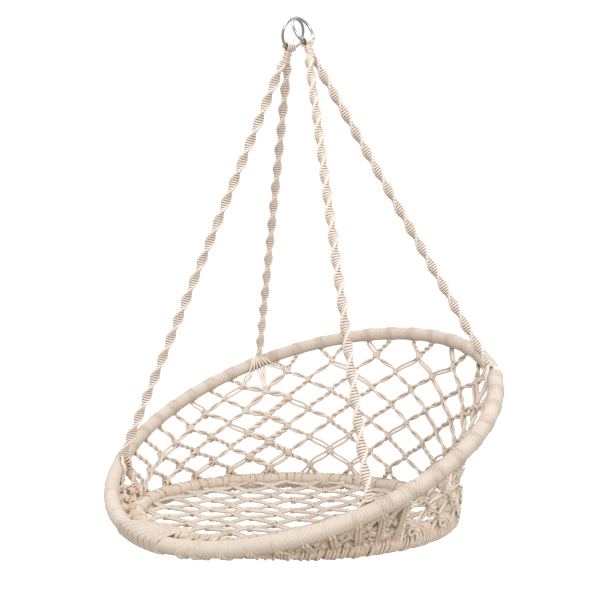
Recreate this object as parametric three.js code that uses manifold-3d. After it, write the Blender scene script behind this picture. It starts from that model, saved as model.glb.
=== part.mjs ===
// Hanging macrame swing chair: two rings on a hook, four knotted ropes, a large tilted hoop that
// is back rest and front edge, a smaller level seat ring lashed inside its front, and the nets
// between them. Millimetres, +Z up. The origin is the point where the hook bears under the tops
// of the two hanging rings. The sitter faces -Y, and the sitter's left side is +X.
import * as THREE from 'three';
import { ConvexGeometry } from 'three/addons/geometries/ConvexGeometry.js';
import { mergeVertices } from 'three/addons/utils/BufferGeometryUtils.js';
import Module from 'manifold-3d';

const wasm = await Module();
wasm.setup();

// Driving dimensions
const GAP = 0.3; // between pieces that touch
const SECTION_SIDES = 8;

const HOOP_RADIUS = 386; // tube centreline, 800 over the cord wrap
const HOOP_TILT = THREE.MathUtils.degToRad(26); // back of the hoop above its front
const HOOP_CENTRE = new THREE.Vector3(0, 5, -791);
const HOOP_STEPS = 48;

const SEAT_RADIUS = 300; // tube centreline
const SEAT_STEPS = 40;
const RING_SPACING = 30; // hoop centreline to seat ring centreline, where they are lashed
const RING_SPACING_RISE = THREE.MathUtils.degToRad(12); // seat ring's front lies behind and a little above

const TUBE_OUTER = 10.5; // steel tube of both rings
const TUBE_WALL = 1.2;
const TUBE_JOINT_GAP = 0.4;
const SPIGOT_HALF_LENGTH = 30;
const WRAP_OUTER = 14; // cord wound round the tube

const EYE_RADIUS = 28; // hanging ring centreline, 62 outside
const EYE_WIRE = 3;
const EYE_LEAN = THREE.MathUtils.degToRad(21);
const EYE_TOP_X = 3.3; // half the distance between the two ring tops

const HEAD_RADIUS = 9.5; // gathered cords round the bottom of a hanging ring
const HEAD_TOP = 20; // from the ring's centre, along the lean
const HEAD_BOTTOM = 58;
const HEAD_CLEARANCE = 2.1; // lets the gathered cords slide round the ring

const ROPE_OUTER = 7;
const ROPE_CORE = 3;
const ROPE_START_Y = 7.6;
const ROPE_START_DROP = 3; // below the gathered cords
const ROPE_FRONT = 56.25; // attachment angle on the hoop, from its front
const ROPE_BACK = 54; // attachment angle on the hoop, from its back

const LASHING_INNER = WRAP_OUTER + 1.6;
const LASHING_OUTER = 18;
const LASHING_LENGTH = 32;

const FRONT_LASHING_ANGLE = 14; // degrees from the front on the seat ring, on both sides
const FRONT_LASHING_CLEARANCE = 2.6; // lets the seat ring turn in the bindings
const FRONT_LASHING_THICKNESS = 3.5;
const FRONT_LASHING_LENGTH = 22;

const NET_THICKNESS = 3;
const NET_PANELS = 18;
const NET_START = 40; // degrees from the front, on both sides
const NET_HOOP_OFFSET = 27;
const NET_SEAT_RADIUS = SEAT_RADIUS + WRAP_OUTER + 4.5;
const NET_PANEL_GAP = 0.06; // degrees
const SEAT_NET_RADIUS = 276;
const SEAT_NET_THICKNESS = 6;

const COTTON = { color: 0xe3d5c4, roughness: 0.92, metalness: 0 };
const CHROME = { color: 0xc9ccd0, roughness: 0.12, metalness: 1 };
const STEEL = { color: 0x5c5f63, roughness: 0.5, metalness: 0.8 };

const chair = new THREE.Group();

function add(name, geometry, finish, parent = chair) {
  const mesh = new THREE.Mesh(geometry, new THREE.MeshStandardMaterial(finish));
  mesh.name = name;
  parent.add(mesh);
  return mesh;
}

// Solids

class ArcPath extends THREE.Curve {
  constructor(radius, from, to) {
    super();
    this.radius = radius;
    this.from = from;
    this.to = to;
  }
  getPoint(t, target = new THREE.Vector3()) {
    const angle = this.from + (this.to - this.from) * t;
    return target.set(this.radius * Math.cos(angle), this.radius * Math.sin(angle), 0);
  }
}

function polygon(radius, sides) {
  const points = [];
  for (let i = 0; i < sides; i += 1) {
    const angle = (2 * Math.PI * (i + 0.5)) / sides;
    points.push(new THREE.Vector2(radius * Math.cos(angle), radius * Math.sin(angle)));
  }
  return points;
}

function section(outer, inner = 0) {
  const shape = new THREE.Shape(polygon(outer, SECTION_SIDES));
  if (inner > 0) {
    shape.holes.push(new THREE.Path(polygon(inner, SECTION_SIDES).reverse()));
  }
  return shape;
}

function sweep(shape, path, steps) {
  return new THREE.ExtrudeGeometry(shape, { extrudePath: path, steps, bevelEnabled: false, curveSegments: 1 });
}

// A stretch of a ring's tube or wrap. Angles are grid steps of the ring, shortened by half the gap.
function ringArc(radius, outer, inner, divisions, fromStep, toStep, gap) {
  const step = (2 * Math.PI) / divisions;
  const trim = gap / 2 / radius;
  const path = new ArcPath(radius, fromStep * step + trim, toStep * step - trim);
  return sweep(section(outer, inner), path, Math.round(toStep - fromStep));
}

function straightTube(start, end, outer, inner = 0) {
  return sweep(section(outer, inner), new THREE.LineCurve3(start, end), 1);
}

function toManifold(geometry) {
  const bare = geometry.clone();
  bare.deleteAttribute('normal');
  bare.deleteAttribute('uv');
  const merged = mergeVertices(bare, 1e-4);
  return new wasm.Manifold(new wasm.Mesh({
    numProp: 3,
    vertProperties: new Float32Array(merged.attributes.position.array),
    triVerts: new Uint32Array(merged.index.array),
  }));
}

function fromManifold(solid) {
  const mesh = solid.getMesh();
  const geometry = new THREE.BufferGeometry();
  geometry.setAttribute('position', new THREE.BufferAttribute(new Float32Array(mesh.vertProperties), 3));
  geometry.setIndex(new THREE.BufferAttribute(new Uint32Array(mesh.triVerts), 1));
  geometry.computeVertexNormals();
  return geometry;
}

// Places on the two big rings. Angle 0 is the front centre and grows towards +X.

function hoopPoint(degrees) {
  const angle = THREE.MathUtils.degToRad(degrees);
  const forward = HOOP_RADIUS * Math.cos(angle);
  return new THREE.Vector3(
    HOOP_RADIUS * Math.sin(angle),
    -forward * Math.cos(HOOP_TILT),
    -forward * Math.sin(HOOP_TILT),
  ).add(HOOP_CENTRE);
}

function hoopTangent(degrees) {
  return hoopPoint(degrees + 0.01).sub(hoopPoint(degrees - 0.01)).normalize();
}

const SEAT_FRONT = hoopPoint(0).add(new THREE.Vector3(
  0,
  RING_SPACING * Math.cos(RING_SPACING_RISE),
  RING_SPACING * Math.sin(RING_SPACING_RISE),
));
const SEAT_CENTRE = SEAT_FRONT.clone().add(new THREE.Vector3(0, SEAT_RADIUS, 0));

function seatPoint(degrees, radius = SEAT_RADIUS) {
  const angle = THREE.MathUtils.degToRad(degrees);
  return new THREE.Vector3(radius * Math.sin(angle), -radius * Math.cos(angle), 0).add(SEAT_CENTRE);
}

// A group whose local XY plane is the ring's plane, with local +Y pointing to the ring's back.
function ringGroup(centre, tilt) {
  const group = new THREE.Group();
  group.position.copy(centre);
  group.rotation.x = tilt;
  chair.add(group);
  return group;
}

// Hanging rings and gathered cord heads

function eyeCentre(side) {
  const drop = EYE_RADIUS * Math.cos(EYE_LEAN);
  return new THREE.Vector3(side * (EYE_TOP_X + EYE_RADIUS * Math.sin(EYE_LEAN)), 0, EYE_WIRE - drop);
}

// Local X of the group is the ring's normal, and local -Z runs down the leaning ring.
function eyeGroup(side) {
  const group = new THREE.Group();
  group.position.copy(eyeCentre(side));
  group.rotation.y = -side * EYE_LEAN;
  chair.add(group);
  return group;
}

function eyeTorus(wire, tubeSides, ringSides) {
  const torus = new THREE.TorusGeometry(EYE_RADIUS, wire, tubeSides, ringSides);
  torus.rotateY(Math.PI / 2);
  return torus;
}

function headSolid() {
  const profile = [
    new THREE.Vector2(0, -HEAD_BOTTOM),
    new THREE.Vector2(HEAD_RADIUS * 0.85, -HEAD_BOTTOM),
    new THREE.Vector2(HEAD_RADIUS * 0.8, -HEAD_BOTTOM * 0.8),
    new THREE.Vector2(HEAD_RADIUS, -EYE_RADIUS - 8),
    new THREE.Vector2(HEAD_RADIUS, -EYE_RADIUS + 3),
    new THREE.Vector2(HEAD_RADIUS * 0.6, -HEAD_TOP),
    new THREE.Vector2(0, -HEAD_TOP),
  ];
  const gathered = new THREE.LatheGeometry(profile, 12);
  gathered.rotateX(Math.PI / 2);
  const slot = toManifold(eyeTorus(EYE_WIRE + HEAD_CLEARANCE, 10, 36));
  return fromManifold(toManifold(gathered).subtract(slot));
}

function headEnd(side) {
  const along = HEAD_BOTTOM + ROPE_START_DROP;
  return eyeCentre(side).add(new THREE.Vector3(
    side * along * Math.sin(EYE_LEAN),
    0,
    -along * Math.cos(EYE_LEAN),
  ));
}

const SIDES = [
  { name: 'right', sign: -1 },
  { name: 'left', sign: 1 },
];

for (const side of SIDES) {
  const group = eyeGroup(side.sign);
  add(`hanging_ring_${side.name}`, eyeTorus(EYE_WIRE, 8, 32), CHROME, group);
  add(`rope_head_${side.name}`, headSolid(), COTTON, group);
}

// Ropes and their lashings on the hoop

// How far short of the hoop's centreline a rope ends, so that its square end clears the lashing.
function ropeShortfall(direction, tangent) {
  const cosine = Math.abs(direction.dot(tangent));
  const sine = Math.sqrt(1 - cosine * cosine);
  return (LASHING_OUTER + GAP + ROPE_OUTER * cosine) / sine;
}

function addRope(name, side, hoopAngle, startY) {
  const start = headEnd(side);
  start.y = startY;
  const target = hoopPoint(hoopAngle);
  const direction = target.clone().sub(start).normalize();
  const end = target.clone().addScaledVector(direction, -ropeShortfall(direction, hoopTangent(hoopAngle)));
  add(`rope_core_${name}`, straightTube(start, end, ROPE_CORE), COTTON);
  add(`rope_knots_${name}`, straightTube(start, end, ROPE_OUTER, ROPE_CORE + GAP), COTTON);

  const tangent = hoopTangent(hoopAngle);
  const half = LASHING_LENGTH / 2;
  const lashing = new THREE.Group();
  lashing.position.copy(target);
  lashing.quaternion.setFromRotationMatrix(frameAlong(tangent));
  chair.add(lashing);
  const band = new THREE.ExtrudeGeometry(section(LASHING_OUTER, LASHING_INNER), {
    depth: LASHING_LENGTH,
    steps: 1,
    bevelEnabled: false,
  });
  band.translate(0, 0, -half);
  add(`hoop_lashing_${name}`, band, COTTON, lashing);
}

// A rotation whose local Z is the given direction and whose local X is the hoop's normal.
function frameAlong(direction) {
  const normal = new THREE.Vector3(0, -Math.sin(HOOP_TILT), Math.cos(HOOP_TILT));
  const side = new THREE.Vector3().crossVectors(direction, normal);
  return new THREE.Matrix4().makeBasis(normal, side, direction);
}

for (const side of SIDES) {
  addRope(`front_${side.name}`, side.sign, side.sign * ROPE_FRONT, -ROPE_START_Y);
  addRope(`back_${side.name}`, side.sign, side.sign * (180 - ROPE_BACK), ROPE_START_Y);
}

// The hoop and the seat ring: steel tube, the spigot in its joint, and the cord wrap in four lengths

function addRing(name, group, radius, divisions) {
  const inner = TUBE_OUTER - TUBE_WALL;
  const quarter = divisions / 4;
  const joint = 3 * quarter; // the tube's joint is at the front, under the lashings
  add(`${name}_tube`, ringArc(radius, TUBE_OUTER, inner, divisions, joint, joint + divisions, TUBE_JOINT_GAP), STEEL, group);
  const reach = SPIGOT_HALF_LENGTH / radius;
  const middle = 1.5 * Math.PI;
  const spigotPath = new ArcPath(radius, middle - reach, middle + reach);
  add(`${name}_spigot`, sweep(section(inner - 1), spigotPath, 2), STEEL, group);
  const stretches = ['left', 'back', 'right', 'front'];
  stretches.forEach((stretch, i) => {
    const from = (i - 0.5) * quarter;
    const arc = ringArc(radius, WRAP_OUTER, TUBE_OUTER + GAP, divisions, from, from + quarter, GAP);
    add(`${name}_wrap_${stretch}`, arc, COTTON, group);
  });
}

addRing('hoop', ringGroup(HOOP_CENTRE, HOOP_TILT), HOOP_RADIUS, HOOP_STEPS);
addRing('seat_ring', ringGroup(SEAT_CENTRE, 0), SEAT_RADIUS, SEAT_STEPS);

// Bindings that hold the hoop and the seat ring together at the front, loose enough to turn in

function capsule(radius, distance) {
  const shape = new THREE.Path();
  shape.absarc(0, 0, radius, Math.PI / 2, 1.5 * Math.PI, false);
  shape.absarc(distance, 0, radius, -Math.PI / 2, Math.PI / 2, false);
  return shape.getPoints(SECTION_SIDES);
}

for (const side of SIDES) {
  const seatAngle = side.sign * FRONT_LASHING_ANGLE;
  const hoopAngle = (seatAngle * (SEAT_RADIUS + RING_SPACING)) / HOOP_RADIUS;
  const onHoop = hoopPoint(hoopAngle);
  const onSeat = seatPoint(seatAngle);
  const across = onSeat.clone().sub(onHoop);
  const distance = across.length();
  across.normalize();
  const along = seatPoint(seatAngle + 0.01).sub(seatPoint(seatAngle - 0.01)).normalize();
  along.add(hoopTangent(hoopAngle));
  along.addScaledVector(across, -along.dot(across)).normalize();
  const inner = WRAP_OUTER + FRONT_LASHING_CLEARANCE;
  const shape = new THREE.Shape(capsule(inner + FRONT_LASHING_THICKNESS, distance));
  shape.holes.push(new THREE.Path(capsule(inner, distance).reverse()));
  const band = new THREE.ExtrudeGeometry(shape, { depth: FRONT_LASHING_LENGTH, steps: 1, bevelEnabled: false });
  band.translate(0, 0, -FRONT_LASHING_LENGTH / 2);
  const mesh = add(`front_lashing_${side.name}`, band, COTTON);
  const third = new THREE.Vector3().crossVectors(along, across);
  mesh.position.copy(onHoop);
  mesh.quaternion.setFromRotationMatrix(new THREE.Matrix4().makeBasis(across, third, along));
}

// Side and back net, in flat panels from the hoop down to the outside of the seat ring

function netEdge(degrees) {
  const top = hoopPoint(degrees);
  const bottom = seatPoint(degrees, NET_SEAT_RADIUS);
  const down = bottom.clone().sub(top).normalize();
  const start = top.addScaledVector(down, NET_HOOP_OFFSET);
  const outward = seatPoint(degrees, 1).sub(SEAT_CENTRE).multiplyScalar(NET_THICKNESS);
  return [start, bottom, start.clone().add(outward), bottom.clone().add(outward)];
}

const PANEL_SPAN = (360 - 2 * NET_START) / NET_PANELS;
for (let i = 0; i < NET_PANELS; i += 1) {
  const from = NET_START + i * PANEL_SPAN + NET_PANEL_GAP / 2;
  const corners = [...netEdge(from), ...netEdge(from + PANEL_SPAN - NET_PANEL_GAP)];
  add(`side_net_${String(i + 1).padStart(2, '0')}`, new ConvexGeometry(corners), COTTON);
}

// Seat net, flat across the seat ring

const seatNet = new THREE.CylinderGeometry(SEAT_NET_RADIUS, SEAT_NET_RADIUS, SEAT_NET_THICKNESS, SEAT_STEPS);
seatNet.rotateX(Math.PI / 2);
add('seat_net', seatNet, COTTON).position.copy(SEAT_CENTRE);

export default chair;
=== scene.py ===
# Hanging macrame swing chair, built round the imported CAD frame. Metres, +Z up, the sitter faces -Y.
import math

import bpy
import numpy as np
from mathutils import Matrix, Vector


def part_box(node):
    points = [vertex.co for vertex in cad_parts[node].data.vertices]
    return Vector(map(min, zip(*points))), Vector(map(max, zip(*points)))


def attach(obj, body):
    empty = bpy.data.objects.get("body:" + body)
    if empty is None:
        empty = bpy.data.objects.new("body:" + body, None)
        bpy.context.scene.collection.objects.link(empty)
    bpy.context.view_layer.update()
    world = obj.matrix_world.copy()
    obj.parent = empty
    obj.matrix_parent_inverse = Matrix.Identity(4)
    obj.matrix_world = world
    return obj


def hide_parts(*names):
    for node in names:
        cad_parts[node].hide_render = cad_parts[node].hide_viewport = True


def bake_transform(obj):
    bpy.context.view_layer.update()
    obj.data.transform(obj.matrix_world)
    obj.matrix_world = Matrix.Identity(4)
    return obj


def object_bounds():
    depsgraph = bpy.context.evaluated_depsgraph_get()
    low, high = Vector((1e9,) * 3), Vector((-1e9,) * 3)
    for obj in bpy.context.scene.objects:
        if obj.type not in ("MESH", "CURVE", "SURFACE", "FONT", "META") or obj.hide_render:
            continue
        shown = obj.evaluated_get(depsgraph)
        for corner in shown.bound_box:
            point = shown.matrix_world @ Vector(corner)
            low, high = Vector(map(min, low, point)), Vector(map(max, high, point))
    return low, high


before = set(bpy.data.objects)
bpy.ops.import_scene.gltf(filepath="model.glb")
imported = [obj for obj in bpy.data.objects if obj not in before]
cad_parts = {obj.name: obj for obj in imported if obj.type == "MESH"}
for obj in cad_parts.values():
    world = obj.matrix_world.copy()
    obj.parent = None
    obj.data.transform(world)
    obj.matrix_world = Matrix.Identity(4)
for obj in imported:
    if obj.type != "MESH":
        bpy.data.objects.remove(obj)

scene = bpy.context.scene
cad_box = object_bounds()
rng = np.random.default_rng(7)

# Driving dimensions, as in the CAD model

WRAP_RADIUS = 0.014  # over the cord wound round both rings' tubes
SECTION_REACH = WRAP_RADIUS * math.cos(math.pi / 8)  # of the CAD wrap's eight-sided section
HOOP_TILT = math.radians(26)
EYE_RADIUS = 0.028
EYE_WIRE = 0.003
EYE_LEAN = math.radians(21)
HEAD_LENGTH = 0.061  # from a hanging ring's centre to the start of its ropes
ROPE_START_Y = 0.0076
ROPE_FRONT = 56.25  # degrees from the hoop's front
ROPE_BACK = 54.0  # degrees from the hoop's back
ROPES = [  # name, side, angle on the hoop from its front, and the start's place fore and aft
    ("front_right", -1, -ROPE_FRONT, -ROPE_START_Y),
    ("back_right", -1, -(180 - ROPE_BACK), ROPE_START_Y),
    ("front_left", 1, ROPE_FRONT, -ROPE_START_Y),
    ("back_left", 1, 180 - ROPE_BACK, ROPE_START_Y),
]

# Cords

CORD = 0.0029  # radius of the net's cord
WRAP_PITCH = 0.0035
WRAP_GROOVE = 0.0014  # depth between the turns of a ring's wrap
WRAP_BOTTOM = WRAP_RADIUS - 0.0013  # of the grooves
WRAP_LOOSE = 0.00008
LAY_SHIFT = 0.03  # so that the twist of neighbouring cords doesn't line up
COIL_STEPS = 20  # in each turn of cord
SMOOTH_STEPS = 12  # between two points of a line, before its points are spaced evenly


def cad_nodes(prefix):
    return [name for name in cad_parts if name.startswith(prefix)]


def cad_ring(prefix):
    """The centre and radius of the line in the middle of a CAD ring's tube."""
    boxes = [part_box(name) for name in cad_nodes(prefix)]
    low = np.min([np.array(b[0]) for b in boxes], axis=0)
    high = np.max([np.array(b[1]) for b in boxes], axis=0)
    return (low + high) / 2, (high[0] - low[0]) / 2 - SECTION_REACH


HOOP_CENTRE, HOOP_RADIUS = cad_ring("hoop_wrap")
SEAT_CENTRE, SEAT_RADIUS = cad_ring("seat_ring_wrap")
HOOP = (HOOP_CENTRE, HOOP_RADIUS, HOOP_TILT)
SEAT = (SEAT_CENTRE, SEAT_RADIUS, 0)


# Places on the rings. Angles are in degrees from the front, growing towards +X.


def unit(v):
    v = np.asarray(v, float)
    return v / np.maximum(np.linalg.norm(v, axis=-1, keepdims=True), 1e-12)


def ring_axes(angle, tilt):
    """The outward and the tangent direction of a ring at an angle, and the ring's normal."""
    a = np.radians(np.asarray(angle, float))
    back = np.array([0, math.cos(tilt), math.sin(tilt)])
    side = np.array([1.0, 0, 0])
    outward = np.sin(a)[..., None] * side - np.cos(a)[..., None] * back
    tangent = np.cos(a)[..., None] * side + np.sin(a)[..., None] * back
    normal = np.array([0, -math.sin(tilt), math.cos(tilt)])
    return outward, tangent, normal


def hoop_point(angle):
    return HOOP_CENTRE + HOOP_RADIUS * ring_axes(angle, HOOP_TILT)[0]


def seat_point(angle, radius=None):
    return SEAT_CENTRE + (radius or SEAT_RADIUS) * ring_axes(angle, 0)[0]


def circle(turn, first, second):
    """Directions round a circle, one for each turn, which starts at the first of two directions."""
    return np.cos(turn)[:, None] * first + np.sin(turn)[:, None] * second


def between_rings(hoop_angle, seat_angle):
    """A place on each ring, the direction from the hoop's to the seat ring's, and the way up."""
    top, bottom = hoop_point(hoop_angle), seat_point(seat_angle)
    across = unit(bottom - top)
    return top, bottom, across, unit(np.cross(ring_axes(hoop_angle, HOOP_TILT)[1], across))


def lengths(line):
    """How far along a line each of its points lies."""
    return np.concatenate([[0], np.cumsum(np.linalg.norm(np.diff(line, axis=0), axis=1))])


def values_at(at, along, values):
    """Rows of three values, read off at other places along a line."""
    return np.stack([np.interp(at, along, values[:, k]) for k in range(3)], axis=1)


def smooth(points, count):
    """A smooth line through points, with count points evenly spaced along it."""
    points = np.asarray(points, float)
    ends = np.vstack([2 * points[0] - points[1], points, 2 * points[-1] - points[-2]])
    out = []
    for i in range(1, len(ends) - 2):
        p0, p1, p2, p3 = ends[i - 1: i + 3]
        t = np.linspace(0, 1, SMOOTH_STEPS, endpoint=False)[:, None]
        out.append(0.5 * (2 * p1 + (p2 - p0) * t + (2 * p0 - 5 * p1 + 4 * p2 - p3) * t ** 2
                          + (3 * p1 - p0 - 3 * p2 + p3) * t ** 3))
    line = np.vstack(out + [points[-1:]])
    along = lengths(line)
    return values_at(np.linspace(0, along[-1], count), along, line)


# Mesh building


class Cords:
    """Collects swept cords into one mesh. The UV map keeps the way along and round each cord."""

    def __init__(self):
        self.points, self.quads, self.tris = [], [], []
        self.quad_uv, self.tri_uv, self.weights = [], [], []
        self.count = 0

    def sweep(self, path, radius, up, sides=7, closed=False, weight=0.0):
        """A round cord along path. up is a direction, or one for each point, that path never runs along."""
        path = np.asarray(path, float)
        n = len(path)
        if closed:
            along = unit(np.roll(path, -1, 0) - np.roll(path, 1, 0))
        else:
            along = unit(np.gradient(path, axis=0))
        first = unit(np.cross(along, np.broadcast_to(np.asarray(up, float), path.shape)))
        second = np.cross(first, along)
        turn = math.tau * np.arange(sides) / sides
        ring = np.cos(turn)[None, :, None] * first[:, None] + np.sin(turn)[None, :, None] * second[:, None]
        size = np.broadcast_to(np.asarray(radius, float), (n,))[:, None, None]
        line = np.vstack([path, path[:1]]) if closed else path
        length = lengths(line)
        u = np.repeat(length[:, None] + LAY_SHIFT * rng.random(), sides + 1, axis=1)
        v = np.repeat(np.arange(sides + 1)[None] / sides, len(length), axis=0)
        weight = np.broadcast_to(np.asarray(weight, float), (n,))
        base = self.count
        self.lay_grid(path[:, None] + ring * size, u, v, closed, weight)
        if not closed:
            self.cap(base, path[0], u[0, 0], sides, weight[0], True)
            self.cap(base + (n - 1) * sides, path[-1], u[-1, 0], sides, weight[-1], False)

    def lay_grid(self, points, u, v, closed, weight):
        """A tube of points, row by row.

        u and v have one more column than points, and for a closed tube one more row."""
        n, sides = points.shape[:2]
        i, j = np.meshgrid(np.arange(n if closed else n - 1), np.arange(sides), indexing="ij")
        i2, j2 = (i + 1) % n, (j + 1) % sides
        quad = np.stack([i * sides + j, i * sides + j2, i2 * sides + j2, i2 * sides + j], -1)
        self.quads.append(quad.reshape(-1, 4) + self.count)
        corners = ((i, j), (i, j + 1), (i + 1, j + 1), (i + 1, j))
        uv = np.stack([np.stack([u[at], v[at]], -1) for at in corners], -2)
        self.quad_uv.append(uv.reshape(-1, 4, 2))
        self.points.append(points.reshape(-1, 3))
        self.weights.append(np.repeat(weight, sides))
        self.count += n * sides

    def cap(self, base, centre, u, sides, weight, first):
        around = np.arange(sides)
        a, b = base + around, base + (around + 1) % sides
        middle = np.full(sides, self.count)
        self.tris.append(np.stack([b, a, middle] if first else [a, b, middle], -1))
        mark = np.stack([np.full(sides, u), around / sides], -1)
        self.tri_uv.append(np.stack([mark, mark, mark], 1))
        self.points.append(np.asarray(centre)[None])
        self.weights.append(np.array([weight]))
        self.count += 1

    def build(self, name, material, body=None, slot="cotton_cord"):
        points, quads = np.concatenate(self.points), np.concatenate(self.quads)
        tris = np.concatenate(self.tris) if self.tris else np.zeros((0, 3), int)
        tri_uv = np.concatenate(self.tri_uv).reshape(-1, 2) if self.tris else np.zeros((0, 2))
        uv = np.concatenate([np.concatenate(self.quad_uv).reshape(-1, 2), tri_uv])
        mesh = bpy.data.meshes.new(name)
        mesh.vertices.add(len(points))
        mesh.vertices.foreach_set("co", points.astype(np.float32).ravel())
        corners = np.concatenate([quads.ravel(), tris.ravel()])
        mesh.loops.add(len(corners))
        mesh.loops.foreach_set("vertex_index", corners.astype(np.int32))
        starts = np.concatenate([np.arange(len(quads)) * 4, len(quads) * 4 + np.arange(len(tris)) * 3])
        mesh.polygons.add(len(starts))
        mesh.polygons.foreach_set("loop_start", starts.astype(np.int32))
        mesh.update(calc_edges=True)
        mesh.polygons.foreach_set("use_smooth", np.ones(len(starts), bool))
        layer = mesh.uv_layers.new(name="cord")
        layer.data.foreach_set("uv", uv.astype(np.float32).ravel())
        mesh.materials.append(material)
        piece = bpy.data.objects.new(name, mesh)
        scene.collection.objects.link(piece)
        if body:
            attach(piece, body)
        return piece

    def build_blended(self, name, material):
        """A piece for cords that run between the basket and the seat, attached to neither, with its place
        baked into its mesh.
        """
        piece = self.build(name, material)
        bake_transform(piece)
        return piece


# Materials


class Nodes:
    """Short names for the nodes of one material."""

    def __init__(self, name):
        self.material = bpy.data.materials.new(name)
        self.material.use_nodes = True
        self.tree = self.material.node_tree
        self.shader = self.tree.nodes["Principled BSDF"]

    def add(self, kind, **values):
        node = self.tree.nodes.new("ShaderNode" + kind)
        for key, value in values.items():
            node.inputs[key.replace("_", " ")].default_value = value
        return node

    def link(self, source, target):
        self.tree.links.new(source, target)

    def maths(self, operation, first, second, third=None):
        node = self.add("Math")
        node.operation = operation
        for slot, value in enumerate((first, second, third)):
            if isinstance(value, (int, float)):
                node.inputs[slot].default_value = value
            elif value is not None:
                self.link(value, node.inputs[slot])
        return node.outputs[0]

    def noise(self, scale, detail):
        place = self.add("TexCoord")
        noise = self.add("TexNoise", Scale=scale, Detail=detail)
        self.link(place.outputs["Object"], noise.inputs["Vector"])
        return noise.outputs["Fac"]

    def set(self, **values):
        for key, value in values.items():
            self.shader.inputs[key.replace("_", " ")].default_value = value


STRANDS = 3
FIBRE_SCALE = 1100
PATCH_SCALE = 17
STRAND_DEPTH = 0.0008
# Painted shade in the cotton's hollows, mixed in by ambient occlusion: its reach, its falloff and its
# colour.
HOLLOW_REACH = 0.009  # of the shade in hollows
HOLLOW_SHADE = 1.3
PAINTED_HOLLOW_SHADE = (0.50, 0.35, 0.22)
GROOVE_SHADE = 0.7


def set_ramp(ramp, stops):
    """stops: a ramp's positions, with their colours."""
    elements = ramp.color_ramp.elements
    while len(elements) < len(stops):
        elements.new(0.5)
    for element, (position, colour) in zip(elements, stops):
        element.position = position
        element.color = (*colour, 1)


def cotton_material(name, light, dark, lay=0.010, bump=0.4, grooves=0.0):
    """Cotton cord: strands that wind round it once in lay, loose fibres, and painted shade, warm and dark,
    in its hollows and between its strands.

    grooves: how much painted shade darkens a wound surface between its turns, from 0 to 1."""
    nodes = Nodes(name)
    uv = nodes.add("UVMap")
    uv.uv_map = "cord"
    split = nodes.add("SeparateXYZ")
    nodes.link(uv.outputs[0], split.inputs[0])
    along = nodes.maths("MULTIPLY", split.outputs[0], math.tau / lay)
    phase = nodes.maths("MULTIPLY_ADD", split.outputs[1], STRANDS * math.tau, along)
    ridge = nodes.maths("MULTIPLY_ADD", nodes.maths("SINE", phase, 0), 0.5, 0.5)
    fibre = nodes.noise(FIBRE_SCALE, 4)
    patch = nodes.noise(PATCH_SCALE, 3)
    bumps = nodes.add("Bump", Strength=bump, Distance=STRAND_DEPTH)
    nodes.link(nodes.maths("MULTIPLY_ADD", fibre, 0.5, ridge), bumps.inputs["Height"])
    nodes.link(bumps.outputs[0], nodes.shader.inputs["Normal"])
    # The strands' ridges also set the tone, so the grooves between strands are darker: painted shade.
    tone = nodes.maths("MULTIPLY_ADD", ridge, 0.3, patch)
    ramp = nodes.add("ValToRGB")
    set_ramp(ramp, [(0.32, dark), (0.82, light)])
    nodes.link(nodes.maths("MULTIPLY_ADD", fibre, 0.12, tone), ramp.inputs[0])
    # Painted shade: hollows take on a warm, dark colour wherever ambient occlusion finds them.
    hollow = nodes.add("AmbientOcclusion", Distance=HOLLOW_REACH)
    hollow.samples = 8
    mix = nodes.add("Mix")
    mix.data_type = "RGBA"
    mix.inputs["A"].default_value = (*PAINTED_HOLLOW_SHADE, 1)
    open_air = nodes.maths("POWER", hollow.outputs["AO"], HOLLOW_SHADE)
    # Painted shade in the grooves between a wound surface's turns.
    if grooves:
        winding = nodes.maths("MULTIPLY", split.outputs[1], math.tau)
        crest = nodes.maths("ABSOLUTE", nodes.maths("SINE", winding, 0), 0)
        shade = nodes.maths("MULTIPLY_ADD", nodes.maths("POWER", crest, GROOVE_SHADE), grooves, 1 - grooves)
        open_air = nodes.maths("MULTIPLY", open_air, shade)
    nodes.link(open_air, mix.inputs["Factor"])
    nodes.link(ramp.outputs[0], mix.inputs["B"])
    nodes.link(mix.outputs["Result"], nodes.shader.inputs["Base Color"])
    nodes.set(Roughness=0.9, Sheen_Weight=0.12, Sheen_Roughness=0.5, Sheen_Tint=(1, 0.96, 0.9, 1))
    nodes.set(Specular_IOR_Level=0.15)
    return nodes.material


def metal_material(name, colour, metallic, rough_low, rough_high, scale):
    """A metal whose polish varies a little over its surface."""
    nodes = Nodes(name)
    rough = nodes.add("MapRange", To_Min=rough_low, To_Max=rough_high)
    nodes.link(nodes.noise(scale, 5), rough.inputs["Value"])
    nodes.link(rough.outputs[0], nodes.shader.inputs["Roughness"])
    nodes.set(Base_Color=(*colour, 1), Metallic=metallic)
    return nodes.material


NET_COTTON = cotton_material("net_cotton", (0.78, 0.705, 0.635), (0.66, 0.56, 0.465))
WRAP_COTTON = cotton_material("wrap_cotton", (0.71, 0.645, 0.585), (0.63, 0.55, 0.475), bump=0.3)
# The wrap of both rings, with painted shade darkening it between its turns.
WOUND_COTTON = cotton_material("wound_cotton", (0.75, 0.685, 0.625), (0.67, 0.59, 0.51), bump=0.3,
                               grooves=0.42)
# Lighter than the other cotton: painted light, because the upright ropes catch less of the light from
# above.
LIT_ROPE_COTTON = cotton_material("lit_rope_cotton", (0.88, 0.81, 0.75), (0.78, 0.69, 0.61), lay=0.012)
# A darker, browner copy of the cotton for the lacing and the cords round the seat ring, low under the
# chair: painted shade.
SHADED_EDGE_COTTON = cotton_material("shaded_edge_cotton", (0.755, 0.665, 0.57), (0.61, 0.49, 0.38))
CHROME = metal_material("polished_chrome", (0.56, 0.565, 0.575), 1.0, 0.04, 0.12, 160)
STEEL = metal_material("painted_tube", (0.11, 0.115, 0.12), 0.4, 0.40, 0.65, 220)


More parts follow.
